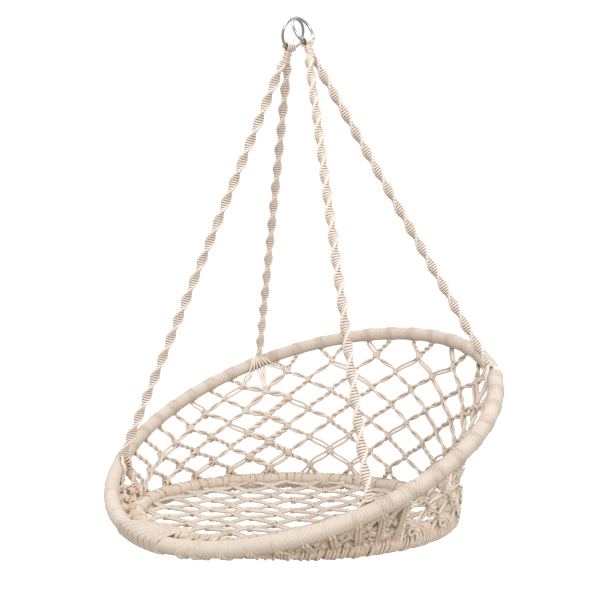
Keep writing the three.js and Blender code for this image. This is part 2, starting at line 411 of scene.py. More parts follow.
def paint_node(name, material):
    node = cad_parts[name]
    node.data.materials.clear()
    node.data.materials.append(material)


# Hanging rings

EYE_STEPS = 96
EYE_SIDES = 20


def eye_frame(side):
    """A leaning hanging ring's centre, and the directions down it, across it and along its axis."""
    low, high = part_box("hanging_ring_left" if side > 0 else "hanging_ring_right")
    down = np.array([side * math.sin(EYE_LEAN), 0, -math.cos(EYE_LEAN)])
    normal = np.array([math.cos(EYE_LEAN), 0, side * math.sin(EYE_LEAN)])
    return np.array((low + high) / 2), down, np.array([0, 1.0, 0]), normal


def add_hanging_ring(side, word):
    centre, down, across, normal = eye_frame(side)
    turn = np.linspace(0, math.tau, EYE_STEPS, endpoint=False)
    path = centre + EYE_RADIUS * circle(turn, across, down)
    ring = Cords()
    ring.sweep(path, EYE_WIRE, normal, sides=EYE_SIDES, closed=True)
    piece = ring.build(f"chrome_ring_{word}", CHROME, "hanging_rings", slot="ring_chrome")
    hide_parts(f"hanging_ring_{word}")


# Rope heads: cords looped over a hanging ring, gathered, and bound by knots

HEAD_CORD = 0.0020
LOOP_COUNT = 5
LOOP_SPREAD = 0.0190
LOOP_CLEARANCE = 0.0010  # round the ring's wire, so that the loops can slide
LOOP_SIDE_CLEARANCE = 0.0017  # more of it beside the wire at the outermost loops
LOOP_POINTS = 48
LEG_DROP = 0.0042  # below the wire, where a loop's legs start to draw together
LEG_GAPS = (0.0036, 0.0028)  # from the middle to a leg, at the binding's start and end
LEG_SPREADS = (0.55, 0.50)  # of the loops' spread that is left there
BIND_START = 0.0350
BIND_PITCH = 0.0044
BIND_TURNS = 6
BIND_REACH = (0.0056, 0.0074)  # across the ring's plane and along it
BIND_CORD = HEAD_CORD * 1.1
BIND_BULGE = 0.07


def add_rope_head(side, word):
    centre, down, across, normal = eye_frame(side)
    head = Cords()
    reach = EYE_WIRE + LOOP_CLEARANCE + HEAD_CORD
    arc = np.linspace(-0.5, 0.5, 11) * math.pi
    bind_end = BIND_START + BIND_PITCH * BIND_TURNS
    for i in range(LOOP_COUNT):
        share = i / (LOOP_COUNT - 1) - 0.5
        y = share * LOOP_SPREAD
        wire = centre + math.sqrt(EYE_RADIUS ** 2 - y ** 2) * down + y * across
        beside = reach + LOOP_SIDE_CLEARANCE * abs(2 * share)
        over = wire + beside * np.sin(arc)[:, None] * normal - reach * np.cos(arc)[:, None] * down
        foot = centre + BIND_START * down + LEG_SPREADS[0] * y * across
        low = centre + bind_end * down + LEG_SPREADS[1] * y * across
        legs = [[wire + LEG_DROP * down + k * beside * normal,
                 foot + k * LEG_GAPS[0] * normal,
                 low + k * LEG_GAPS[1] * normal] for k in (-1, 1)]
        loop = smooth(np.vstack([legs[0][::-1], over, legs[1]]), LOOP_POINTS)
        head.sweep(loop, HEAD_CORD, across)
    turn = np.linspace(0, math.tau * BIND_TURNS, BIND_TURNS * 24)
    rise = BIND_START + BIND_PITCH * turn / math.tau
    bulge = 1 + BIND_BULGE * np.sin(turn * 0.5 + side)
    coil = centre + rise[:, None] * down + bulge[:, None] * (
        BIND_REACH[0] * np.cos(turn)[:, None] * normal + BIND_REACH[1] * np.sin(turn)[:, None] * across)
    head.sweep(coil, BIND_CORD, down)
    piece = head.build(f"rope_gathering_{word}", LIT_ROPE_COTTON, "basket")
    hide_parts(f"rope_head_{word}")


# Ropes: half knots round filler cords, which wind into a spiral with two smooth edges

ROPE_CORD = 0.0023
ROPE_EDGE_CORD = 0.0024
ROPE_WIDE = 0.0076
ROPE_THIN = 0.0035
KNOT_PITCH = 0.0052
KNOT_LOOSE = 0.05
EDGE_GAP = 0.0002  # from the coil to its edge cords
EDGE_SWELL = 0.0004
ROPE_HALF_TURN = 0.0425  # length of rope in which its flat side turns half round
ROPE_SHORTFALL = 0.0165  # where a rope ends, from the hoop's centreline
ROPE_HEAD_OVERLAP = 0.006
TAPER = 0.012  # length in which a rope grows from its thin end
TAPER_END = 0.55


def lay_sinnet(cords, line, up, spin_start, weights=0.0):
    """Half knots along a line: a flat coil that turns about it, and a cord along each of its edges."""
    line = np.asarray(line, float)
    along = lengths(line)
    length = along[-1]
    tangent = unit(np.gradient(line, axis=0))
    side = unit(np.cross(tangent, up))
    weights = np.broadcast_to(np.asarray(weights, float), (len(line),))

    def place(at, out_wide, out_thin):
        first, forward = unit(values_at(at, along, side)), unit(values_at(at, along, tangent))
        second = np.cross(forward, first)
        spin = (math.pi * at / ROPE_HALF_TURN + spin_start)[:, None]
        wide = np.cos(spin) * first + np.sin(spin) * second
        thin = -np.sin(spin) * first + np.cos(spin) * second
        taper = np.clip(np.minimum(at, length - at) / TAPER, TAPER_END, 1)[:, None]
        out = taper * (out_wide[:, None] * wide + out_thin[:, None] * thin)
        return values_at(at, along, line) + out, forward

    knots = max(2, int(length / KNOT_PITCH))
    turn = np.linspace(0, math.tau * knots, knots * COIL_STEPS)
    at = length * turn / turn[-1]
    loose = 1 + KNOT_LOOSE * np.sin(turn * 0.37) * np.sin(turn * 0.113 + spin_start)
    path, forward = place(at, loose * ROPE_WIDE * np.cos(turn), loose * ROPE_THIN * np.sin(turn))
    cords.sweep(path, ROPE_CORD, forward, weight=np.interp(at, along, weights))
    at = np.linspace(0, length, knots * 6)
    swell = EDGE_SWELL * np.cos(math.tau * at / KNOT_PITCH)
    for hand in (-1, 1):
        path, forward = place(at, hand * (ROPE_WIDE + EDGE_GAP + swell), np.zeros(len(at)))
        out = np.cross(forward, np.broadcast_to(up, path.shape))
        cords.sweep(path, ROPE_EDGE_CORD, out, sides=6, weight=np.interp(at, along, weights))


def rope_line(side, hoop_angle, start_y):
    centre, down, _, _ = eye_frame(side)
    start = centre + HEAD_LENGTH * down
    start[1] = start_y
    target = hoop_point(hoop_angle)
    direction = unit(target - start)
    return start - direction * ROPE_HEAD_OVERLAP, target - direction * ROPE_SHORTFALL, direction


def add_rope(word, side, hoop_angle, start_y):
    start, end, _ = rope_line(side, hoop_angle, start_y)
    line = np.linspace(start, end, 20)
    rope = Cords()
    lay_sinnet(rope, line, [0.3, 1, 0.1], 0.7 * side + 0.01 * hoop_angle)
    piece = rope.build(f"spiral_rope_{word}", LIT_ROPE_COTTON, "basket")
    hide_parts(f"rope_knots_{word}")


# Rope ends: the rope's cords fan out over the hoop's inner side, and some go round its outer side

FAN_CORDS = 7
FAN_STEPS = 16
FAN_SPREAD = 0.058
FAN_START = 0.12  # half turns round the hoop's section, from where the rope meets it
FAN_END_BACK = 0.60
FAN_END_FRONT = 0.85
FAN_COLUMNS = (5, 6, 7)  # of the side net: the fan's cords run on to these columns' top knots
OUTER_LOOPS = 4
OUTER_LOOP_END = 1.1
OUTER_LOOP_STEPS = 18
OUTER_LOOP_SPREAD = 0.017
OUTER_LOOP_REACH = WRAP_RADIUS + 0.0002
OUTER_LOOP_CORD = CORD * 0.85
TAIL_POINTS = 30


def rope_meeting(side, hoop_angle, start_y):
    """A rope's end and direction, and where on the hoop's section it comes down."""
    _, end, direction = rope_line(side, hoop_angle, start_y)
    outward, _, normal = ring_axes(hoop_angle, HOOP_TILT)
    return end, direction, math.atan2(float(-direction @ normal), float(-direction @ outward))


def add_rope_end(word, side, hoop_angle, start_y):
    end, direction, meet = rope_meeting(side, hoop_angle, start_y)
    outward, tangent, normal = ring_axes(hoop_angle, HOOP_TILT)
    centre = hoop_point(hoop_angle)
    fan = Cords()
    at_back = abs(hoop_angle) > 90
    turn = meet + np.linspace(FAN_START, FAN_END_BACK if at_back else FAN_END_FRONT, FAN_STEPS) * math.pi
    for i in range(FAN_CORDS):
        share = i / (FAN_CORDS - 1) - 0.5
        slide = share * FAN_SPREAD * (0.40 + 0.55 * np.linspace(0, 1, FAN_STEPS))
        reach = np.full(FAN_STEPS, WRAP_RADIUS + CORD * (0.8 + 0.3 * (i % 2)))
        if not at_back:
            reach[-3:] -= CORD * np.array([0.5, 1.2, 2.2])  # the ends go in under the wrap
        around = centre + slide[:, None] * tangent + reach[:, None] * circle(turn, outward, normal)
        path = [end - direction * 0.007 + share * 0.007 * tangent] + list(around)
        if at_back:
            column = FAN_COLUMNS[round((0.5 - share * side) * (len(FAN_COLUMNS) - 1))]
            row = column_rows(column) - (column + column_rows(column) + 1) % 2
            path.append(net_point(side * float(column), knot_share(column, row)))
        fan.sweep(smooth(np.array(path), 40), CORD, unit(tangent + 0.2 * normal))
    turn = meet - np.linspace(FAN_START, OUTER_LOOP_END, OUTER_LOOP_STEPS) * math.pi
    for i in range(OUTER_LOOPS if at_back else 0):
        slide = (i / (OUTER_LOOPS - 1) - 0.5) * OUTER_LOOP_SPREAD * np.linspace(0.4, 1, OUTER_LOOP_STEPS)
        around = centre + slide[:, None] * tangent + OUTER_LOOP_REACH * circle(turn, outward, normal)
        fan.sweep(smooth(around, 2 * OUTER_LOOP_STEPS), OUTER_LOOP_CORD, tangent)
    piece = fan.build(f"rope_end_{word}", LIT_ROPE_COTTON, "basket")
    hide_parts(f"hoop_lashing_{word}")


def rope_tail(cords, side, hoop_angle, start_y):
    """The front ropes' knots go on past the hoop's inner side, down to the seat ring."""
    end, direction, meet = rope_meeting(side, hoop_angle, start_y)
    outward, tangent, normal = ring_axes(hoop_angle, HOOP_TILT)
    reach = WRAP_RADIUS + ROPE_THIN + 2 * ROPE_CORD
    over = [hoop_point(hoop_angle) + reach * (math.cos(a) * outward + math.sin(a) * normal)
            for a in np.linspace(meet + 0.5, math.pi * 1.2, 4)]
    foot = seat_point(hoop_angle, SEAT_RADIUS + 0.006) + np.array([0, 0, WRAP_RADIUS])
    line = smooth(np.array([end - TAPER * direction] + over + [foot]), TAIL_POINTS)
    share = np.clip((np.linspace(0, 1, TAIL_POINTS) - 0.55) / 0.4, 0, 1)
    lay_sinnet(cords, line, tangent, 1.2 * side, share)


def coil_round(cords, ring, angle, band, slant=0.0):
    """Turns of cord round a ring's tube, centred on an angle. slant slides their outer side along it."""
    centre, radius, tilt = ring
    turns, reach, thick, pitch = band
    steps = int(turns * COIL_STEPS)
    turn = np.linspace(0, math.tau * turns, steps) + math.tau * rng.random()
    slide = np.linspace(-0.5, 0.5, steps) * turns * pitch + slant * np.cos(turn)
    outward, tangent, normal = ring_axes(angle + np.degrees(slide / radius), tilt)
    path = centre + radius * outward + reach * circle(turn, outward, normal)
    cords.sweep(path, thick, tangent, sides=6)


# The cord wrap of both rings: close turns of one cord, as one ridged surface


def add_wrap(name, ring, body, replaced, around):
    """around: how many points the surface has round the tube."""
    centre, radius, tilt = ring
    turns = int(math.tau * radius / WRAP_PITCH)
    per_turn = 5
    count = turns * per_turn
    angle = np.linspace(0, 360, count, endpoint=False)
    outward, _, normal = ring_axes(angle, tilt)
    loose = np.repeat(rng.normal(0, WRAP_LOOSE, turns), per_turn)[:, None]
    section = np.arange(around + 1)[None] / around
    phase = np.arange(count + 1)[:, None] / per_turn - section
    ridge = np.abs(np.sin(math.pi * phase[:-1, :-1])) ** 0.7
    reach = WRAP_BOTTOM + WRAP_GROOVE * ridge + loose
    turn = math.tau * section[:, :-1, None]
    points = centre + (radius * outward)[:, None] + reach[..., None] * (
        np.cos(turn) * outward[:, None] - np.sin(turn) * normal)
    u = np.repeat(section * math.tau * WRAP_RADIUS, count + 1, axis=0)
    wrap = Cords()
    wrap.lay_grid(points, u, phase / 2, True, np.zeros(count))
    piece = wrap.build(name, WOUND_COTTON, body)
    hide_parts(*cad_nodes(replaced))


# The side net. A knot has a column, counted from the back to both sides, and a row, counted from the
# seat ring up. Rows run out one by one where the hoop comes down towards the front.

NET_ROWS = 8
FULL_COLUMNS = 7  # on each side of the back, with every row
LAST_COLUMN = 14
NET_SEAT_REACH = WRAP_RADIUS + 0.002
NET_WAIST = 0.024  # how far the taut net draws in between its rings
SLOPE_STEP = 0.02  # over which the net's slope is measured
UNEVEN_COLUMN = 0.04
UNEVEN_SHARE = 0.005
NET_STEPS = 16  # from knot to knot
CROSSING_RISE = 0.0010  # of one strand over the other at a knot
PAIR_GAP = 0.0028  # from a strand's middle to either of its two cords
PAIR_OPENING = (0.0003, 0.0020)  # the least that an untwisted pair opens, and how much more it may
COLUMN_GROWTH = 1.35  # of the cords that run down from the back ropes
GROWN_COLUMNS = (5.0, 7.0)
OPEN_COLUMN = 3  # from here on the sitter's left the pairs of cords are less twisted
CLOSE_TWISTS = (1, 2, -1, 1, 0, 2)  # whole turns of a pair from one knot to the next
OPEN_TWISTS = (0, 0, 1, -1, 1)
LOOP_COLUMN = 9  # from here to the front the knots carry loops on their outer side
LOW_LOOP_COLUMN = 6  # and from here those of the lowest rows do
LOW_LOOP_ROWS = 2
OUTER_KNOT_OUT = 0.0055  # from the net's surface to the second knot's middle
OUTER_KNOT_SIZE = 1.15
SMALL_LOOP_OUT = 0.0075
SMALL_LOOP_DROP = 0.013
SMALL_LOOP_REACH = 0.0065


def column_angle(column):
    size = np.abs(column)
    return 180 - np.sign(column) * (9.0 * size - 0.05 * size ** 2)


def column_rows(column):
    return NET_ROWS - max(0, abs(column) - FULL_COLUMNS)


def knot_share(column, row):
    """How far down from the hoop a knot lies, from 0 to 1 at the seat ring."""
    spare = 1 + min(1, max(0, (abs(column) - FULL_COLUMNS) / 4))
    return 1 - row / (column_rows(column) + spare)


def is_knot(column, row):
    return abs(column) <= LAST_COLUMN and 1 <= row <= column_rows(column) and (column + row) % 2 == 1


def net_point(column, share):
    """A point of the side net's surface, on which hand-tied meshes are a little uneven."""
    column, share = np.asarray(column, float), np.asarray(share, float)
    loose = 4 * share * (1 - share)
    column, share = (column + UNEVEN_COLUMN * loose * np.sin(2.3 * column + 5 * share),
                     share + UNEVEN_SHARE * loose * np.sin(1.9 * column + 7 * share))
    angle = column_angle(column)
    top = hoop_point(angle)
    bottom = seat_point(angle, SEAT_RADIUS + NET_SEAT_REACH)
    depth = np.linalg.norm(bottom - top, axis=-1, keepdims=True)
    top = top + (WRAP_RADIUS - 0.001) * (bottom - top) / depth
    share = share[..., None]
    inward = -ring_axes(angle, 0)[0]
    waist = NET_WAIST * np.clip(depth / 0.2, 0, 1) * 4 * share * (1 - share)
    return top + (bottom - top) * share + waist * inward


def net_up(column, share):
    return unit(net_point(column, share - SLOPE_STEP) - net_point(column, share + SLOPE_STEP))


def net_normal(column, share):
    a = net_point(column + SLOPE_STEP, share) - net_point(column - SLOPE_STEP, share)
    b = net_point(column, share + SLOPE_STEP) - net_point(column, share - SLOPE_STEP)
    return unit(np.cross(a, b))


def has_outer_loops(column, row):
    return abs(column) >= LOOP_COLUMN or (abs(column) >= LOW_LOOP_COLUMN and row <= LOW_LOOP_ROWS)


def net_knots():
    """The column and row of every knot."""
    return [(column, row) for column in range(-LAST_COLUMN, LAST_COLUMN + 1)
            for row in range(1, column_rows(column) + 1) if is_knot(column, row)]


def net_strands():
    """Each strand's lean, and its knots' (column, share) from the hoop down to the seat ring."""
    strands = []
    for lean in (-1, 1):
        for column, row in net_knots():
            if is_knot(column - lean, row + 1):
                continue
            line = [(column - 0.5 * lean, 0.0)]
            while is_knot(column, row):
                line.append((column, knot_share(column, row)))
                column, row = column + lean, row - 1
            last, _ = line[-1]
            line.append((last + 0.5 * lean, 1.0))
            strands.append((lean, line))
    return strands


def add_side_net():
    net = Cords()
    t = np.linspace(0, 1, NET_STEPS, endpoint=False)
    swing = t - 0.4 * np.sin(math.tau * t) / math.tau
    for lean, strand in net_strands():
        edges = list(zip(strand, strand[1:]))
        opening = [PAIR_OPENING[0] + PAIR_OPENING[1] * rng.random() for _ in edges]
        twist = []
        for (upper_column, _), _ in edges:
            choices = CLOSE_TWISTS if upper_column < OPEN_COLUMN else OPEN_TWISTS
            twist.append(int(rng.choice(choices)))
        for hand in (-1, 1):
            columns, shares, bow, lift, thick = [], [], [], [], []
            for i, ((c0, s0), (c1, s1)) in enumerate(edges):
                columns.append(c0 + (c1 - c0) * swing)
                shares.append(s0 + (s1 - s0) * t)
                turn = math.tau * t * twist[i]
                opened = (twist[i] == 0) * opening[i] * np.sin(math.pi * t) ** 1.3
                bow.append(PAIR_GAP * np.cos(turn) + opened)
                lift.append(hand * PAIR_GAP * np.sin(turn))
                thick.append(np.full(NET_STEPS, CORD * growth((c0 + c1) / 2)))
            lists, ends = (columns, shares, bow, lift, thick), (*strand[-1], PAIR_GAP, 0, CORD)
            columns, shares, bow, lift, thick = [
                np.append(np.concatenate(parts), end) for parts, end in zip(lists, ends)]
            place = net_point(columns, shares)
            normal = net_normal(columns, shares)
            across = np.cross(normal, unit(np.gradient(place, axis=0)))
            over = CROSSING_RISE * lean * np.cos(np.arange(len(place)) * math.pi / NET_STEPS)
            path = place + hand * (bow * thick / CORD)[:, None] * across + (lift + over)[:, None] * normal
            net.sweep(path, thick, normal, sides=6, weight=shares)
    knots = Cords()
    for column, row in net_knots():
        share = knot_share(column, row)
        centre, up = net_point(column, share), net_up(column, share)
        tie_knot(knots, centre, net_normal(column, share), up, share, growth(column))
        if has_outer_loops(column, row):
            add_outer_loops(knots, column, share, centre, up)
    cords = net.build_blended("side_net_cords", NET_COTTON)
    knots.build_blended("side_net_knots", NET_COTTON)
    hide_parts(*cad_nodes("side_net"))


def growth(column):
    """How much thicker the cords are in the columns below the back ropes."""
    return COLUMN_GROWTH if GROWN_COLUMNS[0] <= abs(column) <= GROWN_COLUMNS[1] else 1.0


def add_outer_loops(cords, column, share, centre, up):
    """On the net's outer side a second, larger knot over a knot, and a small loop that hangs from it."""
    outward, tangent, _ = ring_axes(column_angle(column), 0)
    tie_knot(cords, centre + OUTER_KNOT_OUT * outward, outward, up, share, OUTER_KNOT_SIZE)
    turn = np.linspace(0, math.tau, 22)
    drop = -SMALL_LOOP_DROP * (1 - np.cos(turn)) / 2
    path = centre + drop[:, None] * up + (SMALL_LOOP_REACH * np.sin(turn))[:, None] * tangent
    path = path + SMALL_LOOP_OUT * outward
    cords.sweep(path, CORD, outward, sides=6, weight=share)


KNOT_TURNS = 2.25
KNOT_STEPS = 40
KNOT_RISE = 0.0090
KNOT_WIDE = 0.0050
KNOT_DEEP = 0.0040
KNOT_UNEVEN = 0.1
KNOT_CORE_RADII = (0.002, 0.0036, 0.0040, 0.0036, 0.002)  # of the strands drawn together in the knot
KNOT_CORE_HALF = 0.007


def tie_knot(cords, centre, normal, up, weight, grown=1.0):
    """A knot: turns of cord round the strands that meet, drawn together."""
    across = np.cross(up, normal)
    size = grown * (1 + KNOT_UNEVEN * rng.normal())
    u = np.linspace(0, 1, KNOT_STEPS)
    turn = math.tau * KNOT_TURNS * u + math.tau * rng.random()
    rise = (u - 0.5) * KNOT_RISE * size
    wide, deep = KNOT_WIDE * size, KNOT_DEEP * size
    path = centre + rise[:, None] * up + wide * np.cos(turn)[:, None] * across
    path = path + deep * np.sin(turn)[:, None] * normal
    cords.sweep(path, CORD * 0.95 * size, up + 0.01 * normal, sides=6, weight=weight)
    core = centre + np.linspace(-KNOT_CORE_HALF, KNOT_CORE_HALF, len(KNOT_CORE_RADII))[:, None] * up
    cords.sweep(core, np.array(KNOT_CORE_RADII) * size, normal, sides=8, weight=weight)


# Where the net's strands go round the hoop and the seat ring

HOOP_BAND = (5.5, WRAP_RADIUS - 0.0006, 0.0018, 0.0041)  # turns, reach, the cord's radius, pitch
SEAT_BAND = (3.3, WRAP_RADIUS + 0.0008, CORD, 0.0046)
SEAT_BAND_SLANT = 0.004


def add_net_bindings():
    on_hoop, on_seat = Cords(), Cords()
    for lean, strand in net_strands():
        top, bottom = column_angle(strand[0][0]), column_angle(strand[-1][0])
        coil_round(on_hoop, HOOP, top, HOOP_BAND)
        coil_round(on_seat, SEAT, bottom, SEAT_BAND, SEAT_BAND_SLANT * lean)
    on_hoop.build("hoop_net_bindings", WRAP_COTTON, "basket")
    on_seat.build("seat_net_bindings", SHADED_EDGE_COTTON, "seat")


# Lacing round the front: pairs of cords that slant from one ring to the other, and lashings over both

LACING_RANGE = (-52.0, 65.0)
LACING_STEP = 6.5
LACING_SLANT = 9.0  # degrees from a cord's end on the hoop to its end on the seat ring
LASHING_ANGLES = (8.5, 12.5, 20.0, 27.0)
# A lashing's turns, slant, reach under both rings and over them, and its cord's radius
LASHING = (3, 0.014, WRAP_RADIUS + 0.0010, WRAP_RADIUS - 0.0032, 0.0023)
FIRST_TURNS = (-16.0, 1.0)  # slanting bundles of turns over both rings, from one angle to the other
FIRST_BUNDLE_STEP = 2.35
FIRST_BUNDLE = 4
FIRST_TURN_STEP = 0.52
FIRST_SLANT = 0.016
FIRST_CROWN = 0.0009  # how much the middle of a bundle stands out
FIRST_SINK = 0.0004
FIRST_CORD = 0.0019
LACING_BAND = (1.3, WRAP_RADIUS - 0.0008, 0.0015, 0.0040)
TIE_CORD = CORD * 1.2
TIE_DROOP = 0.004
TIE_POINTS = 30
RUNNER_START = 9.0  # cords that run along between the rings
RUNNER_ENDS = {-1: 56.0, 1: 72.0}
RUNNER_COUNT = 3
RUNNER_POINTS = 110
RUNNER_WAVE = 26.0
RUNNER_SWING = 0.30
RUNNER_RISE = 0.0035
RUNNER_TWISTS = 6  # of its two cords round each other in one wave
RUNNER_KNOT_STEP = 9
RUNNER_KNOT_OUT = 0.003
RUNNER_KNOT_SIZE = 1.1
LUMP_START = 24.0
LUMP_ENDS = {-1: 56.0, 1: 70.0}
LUMP_STEP = 1.7
LUMP_SHARES = (0.40, 0.72, 0.55, 0.86)  # of the way from the hoop to the seat ring
LUMP_OUT = 0.007
LUMP_SLANT = 0.7


def add_front_lacing():
    lacing = Cords()
    stops = np.arange(LACING_RANGE[0], LACING_RANGE[1] + 0.1, LACING_STEP)
    for angle in stops:
        for slant in (-LACING_SLANT, LACING_SLANT):
            for pair in (0, 1):
                shift = pair * math.degrees(2.1 * CORD / HOOP_RADIUS)
                tie_across(lacing, angle + shift, angle + shift + slant, 0.4 + 0.5 * rng.random())
    for _, side, hoop_angle, start_y in ROPES:
        if abs(hoop_angle) < 90:
            rope_tail(lacing, side, hoop_angle, start_y)
    add_runners(lacing)
    add_lumps(lacing)
    for angle in LASHING_ANGLES:
        lash_both(lacing, angle, *LASHING)
    turns = Cords()
    for start in np.arange(*FIRST_TURNS, FIRST_BUNDLE_STEP):
        slant = FIRST_SLANT + 0.001 * rng.random()
        for i in range(FIRST_BUNDLE):
            crown = FIRST_CROWN * math.sin(math.pi * (i + 0.5) / FIRST_BUNDLE)
            reach = WRAP_RADIUS - FIRST_SINK + crown
            lash_both(turns, start + i * FIRST_TURN_STEP, 1, slant, reach, reach, FIRST_CORD)
    turns.build_blended("front_turns", WRAP_COTTON)
    piece = lacing.build_blended("front_lacing", SHADED_EDGE_COTTON)
    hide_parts("front_lashing_left", "front_lashing_right")
    bands = Cords()
    for angle in stops:
        coil_round(bands, HOOP, angle, LACING_BAND)
    bands.build("hoop_lacing_bands", WRAP_COTTON, "basket")


def add_runners(cords):
    """Pairs of cords that run along between the two rings and swing from one to the other."""
    for hand in (-1, 1):
        way = np.linspace(RUNNER_START, RUNNER_ENDS[hand], RUNNER_POINTS)
        top, bottom, across, up = between_rings(hand * way, hand * way)
        for i in range(RUNNER_COUNT):
            swing = math.tau * (way / RUNNER_WAVE + i / RUNNER_COUNT)
            share = 0.5 + RUNNER_SWING * np.sin(swing)
            middle = top + share[:, None] * (bottom - top) + RUNNER_RISE * np.cos(swing)[:, None] * up
            for pair in (-1, 1):
                twist = pair * CORD * circle(RUNNER_TWISTS * swing, across, up)
                cords.sweep(middle + twist, CORD, ring_axes(hand * way, 0)[0], sides=6, weight=share)
            for at in range(RUNNER_KNOT_STEP * (i + 1) // 2, len(way), RUNNER_KNOT_STEP):
                centre, along = middle[at] - RUNNER_KNOT_OUT * up[at], unit(middle[at - 1] - middle[at])
                tie_knot(cords, centre, -up[at], along, share[at], RUNNER_KNOT_SIZE)


def add_lumps(cords):
    """Rows of knots over the lacing, on its outer and lower side."""
    for hand in (-1, 1):
        stops = np.arange(LUMP_START, LUMP_ENDS[hand], LUMP_STEP)
        top, bottom, across, up = between_rings(hand * stops, hand * stops)
        for i in range(len(stops)):
            share = LUMP_SHARES[i % len(LUMP_SHARES)] + 0.05 * rng.normal()
            centre = top[i] + share * (bottom[i] - top[i]) - LUMP_OUT * up[i]
            slant = rng.normal(0, LUMP_SLANT)
            way = unit(math.cos(slant) * across[i] + math.sin(slant) * np.cross(up[i], across[i]))
            tie_knot(cords, centre, -up[i], way, share, 1.0 + 0.3 * rng.random())


def tie_across(cords, hoop_angle, seat_angle, droop):
    """A cord from the inner, lower side of the hoop to the seat ring, which it half goes round."""
    top, bottom, across, up = between_rings(hoop_angle, seat_angle)
    reach = WRAP_RADIUS + 0.8 * CORD
    sunk = WRAP_RADIUS - 1.3 * CORD
    start = [top + r * (math.cos(a) * across + math.sin(a) * up)
             for a, r in ((-1.65, sunk), (-1.2, reach), (-0.8, reach))]
    finish = [bottom + r * (-math.cos(a) * across - math.sin(a) * up)
              for a, r in ((0.5, reach), (1.1, reach), (1.7, sunk))]
    middle = (start[-1] + finish[0]) / 2 - TIE_DROOP * droop * up
    path = smooth(np.array(start + [middle] + finish), TIE_POINTS)
    share = np.clip((np.linspace(0, 1, TIE_POINTS) - 0.3) / 0.4, 0, 1)
    cords.sweep(path, TIE_CORD, ring_axes(hoop_angle, HOOP_TILT)[1] + 0.3 * up, sides=6, weight=share)


def lash_both(cords, angle, turns, slant, under, over, thick):
    """Slanting turns of cord round both rings together. under and over: their reach there."""
    hoop, seat, across, up = between_rings(angle, angle)
    tangent = ring_axes(angle, HOOP_TILT)[1]
    span = np.linalg.norm(seat - hoop)
    steps = turns * 36
    turn = np.linspace(0, math.tau * turns, steps) - math.pi / 2
    side, height = np.cos(turn), np.sin(turn)
    reach = (under + over) / 2 + (over - under) / 2 * height
    middle = np.clip(side / 0.45, -1, 1) * span / 2
    flat = reach * np.sign(height) * np.abs(height) ** 0.6
    shift = np.linspace(-0.5, 0.5, steps) * turns * 2.05 * thick + slant * side
    place = (hoop + seat) / 2 + (middle + reach * side)[:, None] * across
    place = place + flat[:, None] * up + shift[:, None] * tangent
    cords.sweep(place, thick, tangent, sides=6, weight=middle / span + 0.5)


# Seat net: strands across and along the seat ring, knotted where they meet, sagging a little

SEAT_NET_STEP = 0.057
SEAT_NET_SAG = 0.010
SEAT_NET_UNEVEN = 0.007
SEAT_NET_WANDER = 0.004
SEAT_PAIR_OPENING = (0.0004, 0.0018)
SEAT_NET_BAND = (2.6, *SEAT_BAND[1:])
SEAT_NET_BAND_SLANT = 0.003


def seat_net_point(x, y):
    away = np.hypot(x, y) / (SEAT_RADIUS - WRAP_RADIUS)
    loose = SEAT_NET_UNEVEN * np.clip(1 - away ** 2, 0, 1)
    x, y = x + loose * np.sin(19 * y + 27 * x + 1.3), y + loose * np.sin(23 * x - 31 * y + 0.4)
    z = -SEAT_NET_SAG * np.clip(1 - away ** 2, 0, 1) - 0.001
    return SEAT_CENTRE + np.stack([x, y, z], -1)


def add_seat_net():
    net, knots, bindings = Cords(), Cords(), Cords()
    edge = SEAT_RADIUS - WRAP_RADIUS + 0.002
    reach = int(edge / SEAT_NET_STEP) + 1
    up = np.array([0, 0, 1.0])
    for family in (0, 1):
        for i in range(-reach, reach):
            offset = (i + 0.5) * SEAT_NET_STEP
            if abs(offset) > edge * 0.985:
                continue
            half = math.sqrt(edge ** 2 - offset ** 2)
            s = np.linspace(-half, half, max(8, int(2 * half / 0.0045)))
            cell = s / SEAT_NET_STEP - 0.5
            wander = SEAT_NET_WANDER * (1 if i % 2 else -1) * np.sin(math.pi * cell)
            place = seat_net_point(*((s, offset + wander) if family else (offset + wander, s)))
            across = np.cross(up, unit(np.gradient(place, axis=0)))
            opening = SEAT_PAIR_OPENING[0] + SEAT_PAIR_OPENING[1] * rng.random()
            bow = PAIR_GAP + opening * np.abs(np.sin(math.pi * cell))
            lift = (1 if (family + i) % 2 else -1) * CROSSING_RISE * np.cos(math.pi * cell)
            for hand in (-1, 1):
                path = place + hand * bow[:, None] * across + lift[:, None] * up
                net.sweep(path, CORD, up, sides=6)
            for end in (-1, 1):
                x, y = (end * half, offset) if family else (offset, end * half)
                angle = math.degrees(math.atan2(x, -y))
                coil_round(bindings, SEAT, angle, SEAT_NET_BAND, SEAT_NET_BAND_SLANT * end)
    for i in range(-reach, reach):
        for j in range(-reach, reach):
            x, y = (i + 0.5) * SEAT_NET_STEP, (j + 0.5) * SEAT_NET_STEP
            if math.hypot(x, y) < edge - 0.010:
                turn = math.pi / 4 * (1 if (i + j) % 2 else 3)
                way = np.array([math.cos(turn), math.sin(turn), 0])
                tie_knot(knots, seat_net_point(x, y), up, way, 1.0)
    cords = net.build("seat_net_cords", NET_COTTON, "seat")
    knots.build("seat_net_knots", NET_COTTON, "seat")
    add_seat_border(bindings)
    bindings.build("seat_net_edge", SHADED_EDGE_COTTON, "seat")
    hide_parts("seat_net")


BORDER_PITCH = 0.0062
BORDER_CORD = 0.0028
BORDER_STEPS = 14
CARRIER_CORD = 0.0022
CARRIER_STEPS = 420


